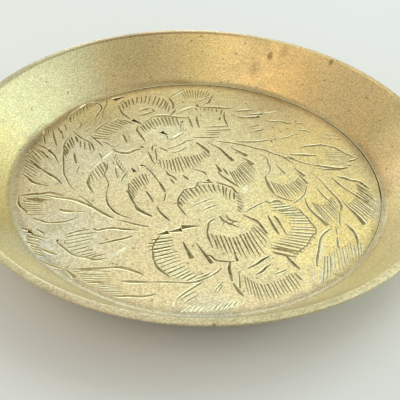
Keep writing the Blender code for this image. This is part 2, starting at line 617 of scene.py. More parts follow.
topLeftPetal = {
    "lines": [
        (0.45, [(-22.4, 29.2), (-21.7, 27.1), (-20.9, 25.2), (-19.8, 24), (-18.5, 22.6)]),
        (0.5, [(-9.2, 34.4), (-8.5, 32.9), (-8, 31.7), (-7.7, 30), (-7.9, 28.5)]),
        (0.6, [(-7, 28.5), (-7.7, 26.9), (-8.2, 25.4)]),
        (0.4, [(-22.8, 30), (-22, 30.6), (-21.2, 32.1)]),
        (0.55, [(-16.8, 26.9), (-14.1, 28.6)]),
        (0.6, [(-16.4, 24.6), (-14.6, 25.6), (-12.7, 27.1)]),
        (0.4, [(-12.6, 27), (-13.2, 28.2)]),
    ],
    "black": [(1.1, [(-21.3, 33.7), (-22.6, 33), (-24.1, 31.8)])],
    "faint": [(0.3, [(-14.6, 35.5), (-12, 35.9), (-10.2, 35.6)])],
    "hatches": [(14, 0.44,
                 [(-21.6, 29.9), (-20.3, 32.2), (-18, 33.6), (-15.4, 34.8), (-12.5, 34.6), (-10.2, 33.3),
                  (-8.7, 30)],
                 [(-20.7, 27.3), (-19.2, 29), (-17.5, 30.5), (-15, 30.6), (-12.9, 29.6), (-10.6, 28.3),
                  (-9, 27)])],
}

upperEdgeLeaf = {
    "lines": [
        (0.5, [(-31.4, 28.5), (-30.2, 29.6), (-28.1, 29.6), (-27.1, 28.5), (-26.7, 27.1), (-27.2, 25),
               (-27.6, 23.1), (-28, 21.7)]),
        (0.4, [(-31.4, 28.5), (-33.1, 25.8), (-34, 24), (-34.4, 22.1), (-34.3, 20)]),
        (0.5, [(-31.2, 19.8), (-30.7, 19), (-31.1, 17.3)]),
        (0.35, [(-26.2, 31.7), (-25.8, 30.8), (-25.9, 28.3), (-26.1, 26.3), (-25.9, 22.5)]),
        (0.35, [(-27.4, 19.6), (-29.3, 16)]),
        (0.35, [(-34.9, 18.5), (-34, 16)]),
    ],
    "glints": [(0.2, [(-33.6, 25), (-32.2, 27.4), (-30.6, 29.3), (-28.4, 30.1), (-27, 29.2)])],
    "hatches": [(7, 0.46, [(-30.3, 29.2), (-32.4, 25.5), (-34.1, 21.9)],
                 [(-29.3, 27.3), (-32.2, 23.8), (-33.7, 20.2)])],
}

leftPetal = {
    "lines": [
        (0.45, [(-27.1, 15.6), (-26.4, 17.3), (-25.4, 19.2), (-24.5, 20.4)]),
        (0.4, [(-23.3, 21), (-21.4, 22.5)]),
        (0.4, [(-21, 21.9), (-20, 21.9), (-17.7, 20.7)]),
        (0.45, [(-27.6, 14.3), (-26, 12.4), (-25, 11.2), (-23.9, 9.7)]),
        (0.5, [(-19.6, 15.4), (-18.9, 13.8), (-18.3, 11.9)]),
        (0.7, [(-21.4, 9.1), (-20.6, 8.2), (-19.1, 7.6), (-17.2, 7.8), (-16, 8.9), (-14.5, 9.5)]),
        (0.7, [(-14.7, 10.7), (-13.9, 10.1)]),
    ],
    "black": [(0.9, [(-15.3, 20.6), (-16.5, 21.5), (-17.9, 22.4)])],
    "bright": [(0.5, [(-18.7, 16.5), (-18, 14.2), (-17.4, 12.3)])],
    "faint": [(0.5, [(-24.3, 12), (-22.9, 11), (-21.4, 9.9), (-20, 11)])],
    "hatches": [(11, 0.5, [(-20.2, 22.1), (-22.3, 21.4), (-23.8, 20), (-25.2, 18.1), (-26.5, 15.9),
                           (-26.8, 13.3)],
                 [(-17.9, 20.8), (-19.6, 19.7), (-20.4, 18.2), (-21.3, 16.4), (-22.4, 15.4),
                  (-22.8, 13.2)])],
}

upperMiddlePetal = {
    "lines": [
        (0.4, [(-15, 21.3), (-13.9, 22.7), (-12.8, 24.3)]),
        (0.65, [(-12.8, 24.5), (-11.2, 24.9), (-9.8, 25.1), (-7.7, 24.9), (-5, 24.7), (-3.5, 24.8)]),
        (0.3, [(-5.2, 22.4), (-5.2, 20), (-5, 18.4)]),
        (0.5, [(-4.1, 17.5), (-5.2, 16.3), (-6.2, 15), (-7.3, 14.4), (-8.4, 14.3)]),
        (0.5, [(-16.2, 19.6), (-16.4, 17.9), (-15.8, 16.7), (-14.8, 14.8), (-13.8, 12.8)]),
        (0.35, [(-8.7, 16.4), (-8.2, 14.5)]),
    ],
    "bright": [(0.35, [(-4.6, 22), (-4.6, 20), (-4.4, 18.1)]),
               (0.35, [(-4.9, 17.6), (-6.3, 15.6), (-8, 14.9)])],
    "black": [(1.0, [(-8.4, 16.2), (-9.2, 16.8), (-10, 17.5)]), (0.7, [(-5.5, 22.4), (-4.8, 22.7)])],
    "hatches": [(12, 0.42, [(-15.6, 19.4), (-13.9, 21.8), (-12, 23.5), (-9.5, 24.3), (-6.6, 24.1)],
                 [(-14.2, 16.8), (-12.6, 18.6), (-11, 20), (-8.6, 20.3), (-5.6, 20.4)])],
}

lowerMiddlePetal = {
    "lines": [
        (0.5, [(-7.9, 10.1), (-6.4, 11), (-5, 12.2), (-4.1, 13), (-3.5, 13.9), (-1.8, 14.3)]),
        (0.5, [(-9.8, 10.5), (-8.7, 9.7), (-7.9, 9.1)]),
        (0.5, [(-6.8, 8.5), (-5.4, 9.1), (-4.1, 10.3), (-3.5, 11.2)]),
        (0.75, [(-1, 13.5), (0.3, 12.2), (1.3, 11), (2.1, 9.9), (2.4, 8.9)]),
        (0.4, [(2.5, 8.7), (2.3, 7.4)]),
        (0.45, [(-12.7, 8.5), (-12, 7), (-11.4, 5.1), (-10.4, 3.5)]),
        (0.4, [(-11, 9.9), (-10.6, 7.6), (-10.2, 4.9)]),
        (0.5, [(-11.8, 11.2), (-11.7, 9.1)]),
        (0.45, [(-1.8, 2.6), (-0.2, 2), (1.3, 1.3), (1.9, 0.3)]),
        (0.5, [(-3.7, -0.1), (-2.3, -1.8)]),
        (0.5, [(-7.7, 1.2), (-7, -0.3), (-6, -0.9), (-5, -2.2)]),
        (0.45, [(-6.6, -1.8), (-5.4, -3.6)]),
    ],
    "hatches": [(16, 0.36, [(-9.6, 5.6), (-7.2, 5.6), (-4.8, 7), (-2.5, 7.4), (-0.3, 8.2), (1, 9.6)],
                 [(-8.9, 2.2), (-6.5, 0.9), (-4.1, 0.9), (-1.6, 2.7), (0.4, 4.8), (2.4, 7.3)])],
    "bright": [(0.3, [(3.9, 7.6), (4, 5.7)])],
}

rightUpperPetal = {
    "lines": [
        (0.5, [(5.8, 3.2), (6.5, 1.9), (7.1, 0.6)]),
        (0.5, [(4.6, 1.6), (5.7, 0.1), (7.1, -1.3), (8.4, -2.6), (9.6, -3.8)]),
    ],
    "wedges": [
        (0.85, [(1.9, 13.7), (3.4, 12.6), (4.8, 11.6), (6.1, 9.7), (7.5, 7.6), (8.4, 6.4)]),
        (0.95, [(7.9, 12), (9.8, 10.4), (11.8, 8.8)]),
        (1.0, [(10.3, 7.9), (11.9, 7.1), (13.1, 5.2)]),
        (0.9, [(4, 4.8), (4.7, 3.3), (5.4, 1.8)]),
    ],
    "bright": [(0.5, [(11.7, -2.8), (10.7, -4.7), (10, -5.9)])],
    "hatches": [(11, 0.32, [(7.4, 2.2), (8.3, 1.9), (8.9, 3), (9.5, 4.4), (10.1, 5.8), (11.6, 6.2)],
                 [(9.1, -2.7), (10.4, -3.4), (11.8, -3.3), (12.9, -2.2), (13.3, 0.4), (13.5, 3)])],
}

topCentreLeaf = {
    "lines": [
        (0.6, [(-1.2, 30.5), (1, 30.3), (2.8, 30.4), (5.5, 30.3), (8, 30.3)]),
        (0.5, [(-2.4, 29.9), (-3.9, 28.8), (-5.1, 27.9), (-6.6, 26)]),
        (0.4, [(-1.6, 29.6), (-1.4, 28.6)]),
        (0.35, [(-0.4, 29.6), (-0.2, 28.9)]),
        (0.4, [(0.7, 29.6), (0.9, 28.4)]),
        (0.35, [(1.8, 29.6), (1.9, 28.8)]),
        (0.4, [(2.8, 29.6), (2.9, 28.5)]),
        (0.4, [(4.1, 29.5), (4, 28.2)]),
        (0.4, [(5.6, 29.6), (5.2, 28), (5.2, 26.8)]),
        (0.4, [(6.1, 28.4), (6.1, 26), (6.6, 23.2), (7.2, 21)]),
        (0.5, [(5.0, 25.8), (4.9, 24.2)]),
        (0.45, [(0.7, 20.6), (6.7, 21.4)]),
        (0.5, [(1.3, 19), (4.5, 19.5), (7.8, 20)]),
        (0.45, [(1.1, 18), (5, 18.5)]),
        (0.45, [(1.7, 17.2), (4.8, 17.5)]),
        (0.5, [(-1.8, 15.7), (1.5, 15.9), (4.8, 16.3)]),
        (0.5, [(-3.4, 25), (-2.7, 22.5), (-2.1, 20)]),
        (0.6, [(-1.3, 25.6), (-1, 23.1), (-0.3, 20.2)]),
        (0.4, [(1.9, 37.7), (1.5, 36.5), (0.7, 35.4)]),
        (0.45, [(3, 36), (2.1, 34.2), (1.9, 32.9), (0.3, 31.7)]),
        (0.5, [(-5.4, 32.7), (-5, 31.9)]),
    ],
    "black": [(0.7, [(-0.9, 30.6), (-1.5, 31.3)])],
    "bright": [(0.28, [(-1.9, 30.6), (-3.7, 29.5), (-5.7, 28.1)]),
               (0.28, [(-8.2, 34.6), (-6.6, 36.8), (-4.6, 38.9)])],
    "faint": [
        (0.55, [(-8.8, 34.9), (-7.2, 37.2), (-5.2, 39.2)]),
        (0.5, [(3.4, 36.8), (1.6, 35.4), (-0.4, 33.6), (-2.4, 32.2)]),
    ],
    "faintHatches": [(10, 0.34, [(-6.2, 38.6), (-2.8, 39.2), (1.4, 38.8)],
                      [(-4.6, 34.6), (-2, 34.6), (0.4, 35.6)])],
}

topRightLeaves = {
    "lines": [
        (0.55, [(8.8, 29), (11.1, 29.4), (14.2, 30.2)]),
        (0.5, [(17.1, 25.1), (19.2, 24.8), (20.9, 25.2), (22.3, 24.5), (23.8, 24)]),
        (0.4, [(25, 24.4), (26.1, 24.6), (26.7, 24.2)]),
        (0.4, [(25.7, 21), (27.3, 21.5), (28.2, 20.2)]),
        (0.45, [(12.8, 19.2), (14.8, 20.1), (16.4, 20.8)]),
        (0.4, [(12.5, 21.6), (14.2, 22.4), (15.4, 23.2)]),
        (0.5, [(9, 14.8), (11.5, 14.8), (13.9, 15), (16, 15.6), (18.1, 16.2)]),
    ],
    "wedges": [
        (0.8, [(7.9, 27.4), (9.4, 26.4), (11.6, 26.2), (13.6, 26.3), (15.4, 26.9)]),
        (0.7, [(12, 27.6), (14.2, 27.8), (16.2, 28.4)]),
        (0.5, [(18.1, 16.3), (18.3, 15)]),
    ],
    "bright": [(0.24, [(16.3, 28.6), (18.6, 29.2), (20.6, 30)])],
    "faint": [
        (0.4, [(18.8, 16.5), (20.9, 17.1), (22.8, 18.1), (24, 19), (26.1, 19.4)]),
        (0.4, [(31, 18.5), (36, 17.8)]),
        (0.4, [(31.5, 20), (36, 19.3)]),
    ],
}

rightLeaf = {
    "lines": [
        (0.45, [(25.3, 13.3), (26.9, 14.1), (28.6, 14.5), (30.7, 15), (32.3, 14.7), (34, 14.1),
                (35.7, 12.4),
                (37.1, 11.2), (39.2, 9.7)]),
        (0.6, [(27.5, 6.4), (30, 5.9), (32.3, 5.5), (34.6, 5.4), (36, 5.9)]),
        (0.4, [(28.8, 5), (31, 4.7), (34.3, 4.8)]),
        (0.45, [(36.3, 8.4), (37.8, 8.9), (39.3, 9.8)]),
        (0.45, [(35.8, 6.8), (37.2, 7)]),
        (0.5, [(22.5, 10.3), (25.7, 10.2), (28.9, 10.3)]),
        (0.5, [(21.7, 9.5), (23.6, 8.3)]),
        (0.4, [(4, 14.4), (6.5, 14.2), (9, 13.8), (11.7, 13.1), (14.2, 12.1), (16.1, 11.6), (18.2, 10.3),
               (20.3, 9.3), (21.5, 8), (23, 6.6)]),
        (0.4, [(18.2, 10.3), (21, 9), (24, 7.7), (26, 6.8), (27.5, 6.3)]),
    ],
    "faintHatches": [(8, 0.34, [(31.6, 12.6), (31.3, 9.5), (32, 7)],
                      [(35.6, 12.9), (37.4, 10.6), (36.4, 7.6)])],
}

rightMiddleLeaf = {
    "lines": [
        (0.4, [(15, 9.7), (16.7, 7.8), (16.7, 6.2), (17.2, 4.5), (16.7, 2.2), (15.7, 0.5)]),
        (0.8, [(15.8, 0.5), (16.3, -1.8), (16.9, -3.8), (17.5, -5.5)]),
        (0.5, [(17.5, -5.7), (19, -6.8), (20.3, -7.4), (21.7, -7.8)]),
        (0.4, [(25.3, -2.4), (24.6, -5.1), (23.2, -7.2), (21.7, -8.6)]),
    ],
    "wedges": [
        (0.9, [(22.9, 4.8), (24, 3.4), (25.3, 1.6)]),
        (0.7, [(23.5, 2.8), (24.5, 1.1), (25.7, -1.2)]),
        (0.6, [(18.6, 6.1), (19.5, 4.2), (20.7, 2.3)]),
    ],
    "hatches": [(12, 0.37, [(17.1, -1.1), (19.1, -2), (21.3, -1.7), (22.7, -0.6), (23.4, 0.8)],
                 [(18.9, -6.2), (20.7, -7.1), (23, -5.7), (24.4, -4.3), (25.3, -2.1)])],
}

rightSpray = {
    "lines": [
        (0.4, [(27.5, -2.4), (28.4, -4.5), (29.4, -6.3), (30.5, -7.8)]),
        (0.4, [(31.9, -10.9), (31.6, -13.4), (31.4, -15.3)]),
    ],
    "wedges": [
        (0.65, [(26.5, 3.3), (28.6, 0.8), (29.8, -1.8), (31.1, -4.5), (32.1, -6.5), (32.6, -8.8),
                (32.3, -10.4)]),
        (0.9, [(24.5, -6.5), (24.9, -9.4), (26, -11.7), (27.3, -13.6), (28.7, -15.6)]),
    ],
    "hatches": [(10, 0.32, [(26.1, -7.9), (27.4, -8.8), (28.8, -8.2), (30.6, -5.9)],
                 [(29.2, -15.6), (30.2, -15.2), (31, -14), (31.9, -9.4)])],
}

farRightSpray = {
    "lines": [
        (0.42, [(31.6, 1.4), (33.2, -0.9), (34.8, -3), (36.9, -5.1), (39, -7.2)]),
        (0.6, [(33, 2.1), (34.8, 1.6), (36.5, 0.8), (38, 0.5), (39, -0.7), (40, -2.2)]),
        (0.6, [(32.7, -14.9), (33.6, -16.3), (34.2, -17.7), (34.4, -19.3), (34.5, -21)]),
    ],
    "wedges": [(0.9, [(33, -7.2), (34.4, -9.7), (35.7, -12), (36.9, -14.8)])],
    "hatches": [(13, 0.36, [(37.2, -0.3), (37.2, -3), (36.5, -5.3), (35.2, -6.9), (34.2, -8)],
                 [(40.2, -3.6), (40.6, -7), (40.2, -10.2), (39.3, -12.8), (37.6, -13.5)])],
}

lowerRightGrass = {
    "lines": [
        (0.5, [(29.4, -16.4), (28.2, -17.6), (27, -19.1), (26.3, -21.2), (25.8, -23.5), (25.2, -26),
               (24.9, -28.5)]),
        (0.35, [(30.3, -15.9), (30.4, -17.2), (30.3, -18.6)]),
        (0.5, [(30.2, -19.3), (30.1, -21.5), (30, -22.8)]),
    ],
    "bright": [
        (0.26, [(27.3, -20), (26.6, -22.6), (26.2, -25), (25.9, -27)]),
        (0.25, [(25.8, -28.8), (25.2, -31.5), (24.9, -33)]),
        (0.3, [(24.4, -27.6), (24.1, -30.5), (24, -33)]),
    ],
    "faintHatches": [
        (14, 0.3, [(26.9, -25.4), (29.6, -22.8), (32.6, -20.8), (35, -20.6)],
         [(25.6, -33), (29.4, -30.2), (32.4, -27), (34.6, -24.2)]),
    ],
    "brightHatches": [(14, 0.24, [(26.6, -26), (29.7, -23), (32.7, -21.4), (35.3, -21)],
                       [(25.2, -33.2), (29.2, -30.4), (32.2, -27.2), (34.9, -24)])],
}

flowerTopPetal = {
    "lines": [
        (0.5, [(-3.1, -5.5), (-3.7, -7), (-4.3, -9), (-4.3, -10.7), (-3.3, -12.8), (-2.3, -14.5)]),
        (0.48, [(-3.1, -5.5), (-1.8, -5.1), (-0.8, -4.7), (-0.2, -3.6), (0, -2.7), (1.7, -2.6),
                (3.4, -2.5)]),
        (0.48, [(4, -2.1), (5.5, -2.8), (6.9, -3.4), (7.9, -4), (8.6, -5.3), (9.2, -6.1)]),
        (0.45, [(-1, -11.3), (0.3, -10.3), (1.7, -9.3), (3.4, -8.2)]),
        (0.45, [(1.1, -13), (2.3, -11.8), (3.6, -10.9), (4.8, -10.3)]),
    ],
    "wedges": [(0.7, [(3.2, -2.4), (2.6, -2), (2.1, -1.5)])],
    "hatches": [(16, 0.45,
                 [(-4.1, -9.9), (-3.1, -5.7), (-0.8, -4.9), (0.5, -3.6), (3.9, -3.2), (5.2, -3.3),
                  (7.1, -4.7),
                  (8.3, -5.9)],
                 [(-3.2, -11.6), (-1.7, -8.8), (0, -7.8), (1.3, -6.8), (4, -6.1), (5.3, -6.5), (7, -8.6),
                  (8.3, -8.4)])],
    "faintHatches": [(6, 0.4, [(8.3, -6.5), (9, -8.5), (9, -11.7)],
                      [(9.9, -7.6), (10.5, -9.4), (9.9, -12.8)])],
    "brightHatches": [(9, 0.34, [(8.7, -6), (9.1, -8), (9.2, -10.2), (9, -12)],
                       [(10.2, -6.4), (10.6, -8.6), (10.5, -10.8), (10, -12.8)])],
}

flowerHeart = {
    "lines": [
        (0.5, [(4.1, -15.1), (3.4, -15.7), (2.8, -16.4), (2.6, -18.1), (2.4, -19.3), (2.6, -20.8),
               (3.2, -22.7),
               (3.6, -24.3)]),
        (0.6, [(10.1, -13.3), (11.7, -14.3), (13.2, -15.2), (14, -16.6), (15, -18.7), (15.3, -19.3)]),
        (0.55, [(5.1, -14.3), (5.9, -15.6), (7.6, -16.7), (9.3, -17.6)]),
        (0.5, [(6.5, -13.9), (7.1, -15), (8.2, -15.6), (9.5, -15.9)]),
        (0.35, [(5.6, -17.3), (6.2, -15.8), (7.3, -15.1)]),
        (0.35, [(7, -17.1), (7.7, -16.2), (9, -15.6)]),
    ],
    "wedges": [(0.6, [(8, -24.6), (8.3, -26.2), (8.8, -27.9)])],
    "hatches": [
        (10, 0.42, [(3.4, -20.4), (5.9, -20.6), (7.8, -20.8), (9.9, -19.7), (10.8, -19)],
         [(4.8, -24.8), (7.4, -25.8), (10.6, -26.6), (13.4, -25.7)]),
        (4, 0.34, [(11.4, -18.4), (12.7, -16.6)], [(14.2, -24.9), (15.4, -20.6)]),
    ],
}

flowerRightPetal = {
    "lines": [
        (0.4, [(10.6, -12.6), (12.8, -10.5), (14, -9.5), (15.5, -8.4)]),
        (0.45, [(15.5, -8.2), (16.3, -8.8), (18, -7.8), (19.2, -8.8)]),
        (0.4, [(21.9, -10.1), (23, -10.9), (23.6, -12.2), (24.4, -13.2), (25, -14.9), (25.9, -16.6),
               (25.7, -18.3),
               (24.8, -19.3), (24, -21.2), (23, -22.7), (21.7, -23.9), (20.3, -25.6)]),
        (0.55, [(15.8, -23.4), (18.4, -23.9), (21.2, -24.1)]),
        (0.6, [(16.2, -24.8), (18.4, -25.3), (20.2, -25.8)]),
        (0.6, [(15.7, -13.3), (16.3, -15.2), (16.9, -17), (17.8, -19.3)]),
        (0.5, [(17, -13.3), (17.6, -14.1), (18.3, -16), (19.4, -19.1)]),
    ],
    "hatches": [(21, 0.4,
                 [(19, -8.3), (21.9, -10.2), (24.4, -13), (25.9, -15.8), (25.9, -18.2), (24.8, -20.9),
                  (23.2, -23.2),
                  (20.8, -25.8)],
                 [(15.6, -8.8), (16.4, -11.2), (19.6, -13.2), (20.4, -15.8), (20, -18.4), (18, -20.5),
                  (15.7, -22.7),
                  (15.5, -24.4)])],
}

flowerLeftPetal = {
    "lines": [
        (0.35, [(-7.5, -21.3), (-8.2, -22.7), (-8.7, -24.4), (-8.8, -26)]),
        (0.45, [(-8.7, -26), (-8.5, -27.7), (-8.2, -29)]),
        (0.6, [(-8.1, -29), (-7.5, -30.4), (-6.4, -31.6), (-4.8, -33.1)]),
        (0.4, [(2, -26.3), (3.3, -26.7), (4.2, -27.7), (6.1, -28.1), (8.2, -28)]),
        (0.35, [(0.4, -33.3), (2, -32.5), (3.2, -31.6)]),
    ],
    "wedges": [
        (1.05, [(0.5, -17.7), (-1.2, -18), (-3.1, -18.3)]),
        (1.0, [(-5.8, -20), (-4.4, -19.6), (-3.1, -19.1)]),
        (1.0, [(-8.1, -21), (-7, -20.7), (-5.9, -20.1)]),
        (1.0, [(-2.6, -22.9), (-2, -24.4), (-1.3, -26), (-0.5, -27.7)]),
        (0.75, [(0.1, -22.9), (1, -24.5), (2, -26.2), (3.6, -28.8)]),
    ],
    "hatches": [(15, 0.44,
                 [(-9.2, -22.8), (-9.9, -24.8), (-8.7, -26.8), (-8, -28.9), (-6.2, -31.4), (-4.4, -33.2),
                  (-1.4, -33.9)],
                 [(-4.6, -21.6), (-4.6, -23.6), (-4.2, -25), (-3.3, -26.6), (-2, -28.9), (-0.6, -31),
                  (0.9, -32)])],
}

flowerBottomPetal = {
    "lines": [
        (0.75, [(7.2, -28.3), (7, -29.8), (7.3, -31.6), (7.6, -33.6)]),
        (0.6, [(7.8, -34), (8.6, -35.6), (9.8, -37.3)]),
        (0.6, [(18.9, -25.8), (20, -27.5), (21.3, -29.3)]),
        (0.5, [(20.1, -30.4), (20.9, -31.4), (21.5, -32.3)]),
        (0.55, [(10.7, -29.8), (12.5, -28.5), (14, -27), (15.3, -26)]),
        (0.5, [(12.3, -31.4), (13.6, -30.4), (14.6, -29.1), (15.5, -28.3)]),
        (0.35, [(16, -31.1), (17.3, -30.4), (18.6, -29.6)]),
    ],
    "wedges": [(0.6, [(8.9, -30.8), (9.1, -33), (9.1, -35.2)])],
    "hatches": [(16, 0.37, [(10.1, -32), (12.3, -33.8), (14.6, -33.9), (17.3, -32.5), (19.4, -30.6)],
                 [(10.8, -36.8), (13.2, -38.2), (16, -37.7), (18.2, -36.4), (21, -34.2)])],
}

bottomLeaf = {
    "lines": [
        (0.45, [(2.1, -33.7), (0.5, -35.2), (-0.8, -36.4), (-2.3, -37.9), (-3.2, -39.1)]),
        (0.35, [(0.6, -36.6), (-1, -37.6), (-2.3, -38.9)]),
        (0.35, [(1, -37.6), (-0.6, -38.6), (-1.8, -40)]),
        (0.35, [(5.8, -33.8), (4.7, -35.3), (3.9, -36.8)]),
        (0.35, [(5.7, -34.5), (5.2, -35.7), (4.6, -36.7)]),
    ],
    "bright": [(0.3, [(-3.2, -39.1), (-3.8, -40.6)])],
    "faintHatches": [(12, 0.34, [(-2.3, -41.6), (1.6, -41.6), (5.3, -40.8), (8.7, -39.4)],
                      [(-0.9, -40.3), (2.8, -40), (6.6, -39.2), (9.6, -38.2)])],
    "brightHatches": [(14, 0.24, [(-2.1, -41.8), (1.3, -41.8), (5, -41), (8.3, -39.9)],
                       [(-0.7, -40.2), (2.9, -39.8), (6.7, -39), (9.6, -38)])],
}

stems = {
    "lines": [
        (0.55, [(-14.2, -34.8), (-11.8, -34.8), (-9, -34.7)]),
        (0.4, [(-9.2, -34.8), (-5.6, -34.5), (-2.5, -34.5), (-0.2, -34.3), (1.9, -33.3), (3.4, -32.3),
               (4.6, -31.2),
               (5.5, -30)]),
        (0.5, [(-17.1, -17), (-14.1, -17.8), (-12.3, -18.3), (-10, -18.8)]),
    ],
}

bottomLeftLeaf = {
    "lines": [
        (0.55, [(-24.3, -32.2), (-21, -31.9), (-18.9, -31.6), (-16, -31.2)]),
        (0.7, [(-17, -31.3), (-14.4, -31.1), (-12.3, -31.7), (-10, -32.8)]),
        (0.4, [(-15.4, -38.5), (-14.2, -38.7), (-12.3, -38.5), (-9.8, -38.5), (-8.1, -38.1), (-7, -37.6)]),
        (0.4, [(-30.7, -30.4), (-28.7, -31.4), (-26, -32.3)]),
    ],
    "wedges": [(0.75, [(-25.6, -32.3), (-24.3, -33.3), (-23.2, -34.4)])],
    "faintHatches": [
        (6, 0.46, [(-23.6, -32.8), (-22, -34.4), (-20.6, -35.6)],
         [(-16, -32.4), (-16.6, -34.2), (-16, -35.5)]),
        (5, 0.3, [(-19.2, -36.1), (-16.8, -38.1)], [(-14.4, -36), (-12.8, -37.8)]),
    ],
}

lowerLeftLeaf = {
    "lines": [
        (0.5, [(-21.7, -20), (-21, -20.6), (-20, -20.2), (-17.5, -19.6), (-15.8, -19.8), (-12.3, -20)]),
        (0.45, [(-28.4, -24.9), (-27.7, -25.6), (-26.8, -26.4), (-25.6, -27.5), (-23.9, -28.5),
                (-22, -28.7),
                (-20, -29.3), (-17.9, -28.7)]),
        (0.5, [(-27.2, -22.4), (-26, -21.7), (-24.3, -20.9), (-22.5, -20.5)]),
        (0.5, [(-20, -24.8), (-17, -23.5), (-14.1, -22.3), (-13.3, -21.8)]),
    ],
    "wedges": [(0.6, [(-28.4, -25.3), (-28.7, -24)])],
    "bright": [(0.35, [(-17.6, -28.6), (-16.2, -27.5), (-14.5, -25.7), (-13.1, -23.7)])],
    "hatches": [(9, 0.38, [(-27, -23.1), (-27.4, -24.4), (-26.8, -25.7), (-25.6, -27), (-24, -28.1),
                           (-20.8, -28.6)],
                 [(-20.9, -21.2), (-21.6, -22.9), (-22, -24.3), (-21.6, -25.9), (-20.6, -27.2),
                  (-18.4, -27.6)])],
}

lowerEdgeLeaf = {
    "lines": [
        (0.5, [(-36.9, -21), (-35.6, -21.3), (-34.4, -21.7)]),
        (0.4, [(-33.7, -21.1), (-32.5, -21.8), (-31.5, -22.6)]),
        (0.5, [(-31.4, -27), (-27.9, -28.4)]),
    ],
    "black": [(0.7, [(-34, -22.6), (-34.6, -22.2), (-35.3, -21.9)])],
    "hatches": [(8, 0.4, [(-34.5, -22.7), (-35.3, -24), (-34.4, -25.6), (-33.1, -27.5), (-32.3, -28.3)],
                 [(-31.4, -23.6), (-32, -25.5), (-31.7, -26.7), (-30.8, -28.2), (-30.4, -29.1)])],
    "brightHatches": [(6, 0.34, [(-36, -23.4), (-35, -25.3), (-33.4, -27.6)],
                       [(-35, -23.8), (-34, -25.6), (-32.5, -27.9)])],
}

longLeftLeaf = {
    "lines": [
        (0.7, [(-39.8, -10.3), (-38.1, -9.9), (-36.6, -9.5), (-35, -9.3), (-33.3, -8.8), (-31.4, -9.3),
               (-30, -9.7)]),
        (0.62, [(-33.8, -9.9), (-31.4, -10.3), (-29.3, -10.5), (-27.3, -10.9), (-25.2, -11.9),
                (-23.5, -12.8),
               (-22, -13.8), (-20, -15.3), (-17.9, -16.6)]),
        (0.35, [(-26.8, -9.5), (-25, -10.7), (-23.1, -12.6)]),
        (0.5, [(-39.8, -10.9), (-39.5, -12.6), (-38.9, -13.8), (-37.9, -14.9), (-36.8, -15.9)]),
        (0.4, [(-35.2, -17.7), (-33.5, -18.3), (-31.6, -18.9), (-30, -18.7), (-28.1, -18.3), (-26.8, -17.5),
               (-25.8, -16.8)]),
        (0.65, [(-30.1, -14.4), (-28.5, -14.9), (-26.6, -14.8)]),
        (0.4, [(-26.8, -14.8), (-24.3, -14.8)]),
        (0.45, [(-38.6, -11), (-36.4, -11.6), (-34, -11.8)]),
    ],
    "faintHatches": [(11, 0.42, [(-36, -10.1), (-38.6, -12.2), (-38.7, -14), (-36.8, -16.6)],
                      [(-31.4, -11.1), (-34, -12.8), (-34, -14), (-33, -16.4)])],
}

leftEdgeLeaf = {
    "lines": [
        (0.55, [(-36.7, 17.3), (-35.7, 15.9), (-34.8, 14.4)]),
        (0.4, [(-34.8, 14.4), (-34.2, 12.1)]),
        (0.5, [(-37.5, 15.9), (-36.8, 13.3), (-36, 11.2), (-35.3, 9.1)]),
        (0.45, [(-39.6, 14), (-38.9, 12.2), (-38.2, 9.8)]),
        (0.4, [(-38.9, 16.2), (-38.3, 14.5)]),
        (0.35, [(-35.1, 18.7), (-34.2, 16.6)]),
        (0.4, [(-41.8, 11), (-40, 9.5), (-38.1, 8.3), (-37, 7.4)]),
        (0.5, [(-41, 3.5), (-37.3, -0.1)]),
        (0.6, [(-37.3, -0.1), (-35, -2), (-33.1, -3.4), (-31.2, -5.7)]),
        (0.5, [(-39.6, -3.8), (-38.3, -5.1), (-36.6, -5.9), (-34.1, -6.5)]),
    ],
    "wedges": [(0.65, [(-33.3, 1.9), (-34.2, 3.7), (-35.2, 5.4), (-36.9, 7.4)])],
    "glints": [
        (0.3, [(-39.7, 15.6), (-39.3, 13.4)]),
        (0.3, [(-42, 5.4), (-41.4, 4.6)]),
        (0.3, [(-41.4, 7), (-40.8, 6.2)]),
    ],
    "hatches": [(13, 0.36, [(-38.4, 6.9), (-40.4, 7.8), (-41.9, 5.4), (-41.5, 3.2), (-41.2, 0.8),
                            (-40.9, -2.6)],
                 [(-34.9, 3), (-36.6, 3.3), (-37.9, 2.2), (-37.2, -0.5), (-37.6, -2.7), (-38.2, -4.7)])],
}

leftMiddleLeaf = {
    "lines": [
        (0.42, [(-32.4, 16), (-31, 14.3), (-29.3, 12.6), (-27.5, 11.4), (-26.5, 9.7), (-26, 8.2),
                (-26.7, 6.8)]),
        (0.42, [(-32.5, 14.7), (-33.1, 12.8), (-33.5, 11), (-33.5, 9.1), (-33.1, 7.2), (-32.9, 5.3),
                (-32.4, 2.8),
               (-32, 0.8), (-31.4, -1.8), (-30.6, -3.4), (-29.8, -5.1), (-27.9, -7.8)]),
        (0.6, [(-31.4, 13.7), (-30.4, 11.2)]),
        (0.4, [(-29.9, 11.8), (-29.3, 8.9)]),
        (0.4, [(-28.8, 11.4), (-28.1, 8)]),
        (0.4, [(-27.7, 11), (-26.6, 7.8)]),
        (0.6, [(-30.5, 6.6), (-30, 4.5), (-29.3, 2.4)]),
        (0.4, [(-28.3, 1.6), (-28.6, 0.3), (-28.6, -1.5)]),
    ],
    "hatches": [(6, 0.45, [(-32.3, 13.3), (-33.3, 9.8), (-32.7, 6.6)],
                 [(-31, 9.9), (-31.7, 7), (-32, 4.5)])],
}

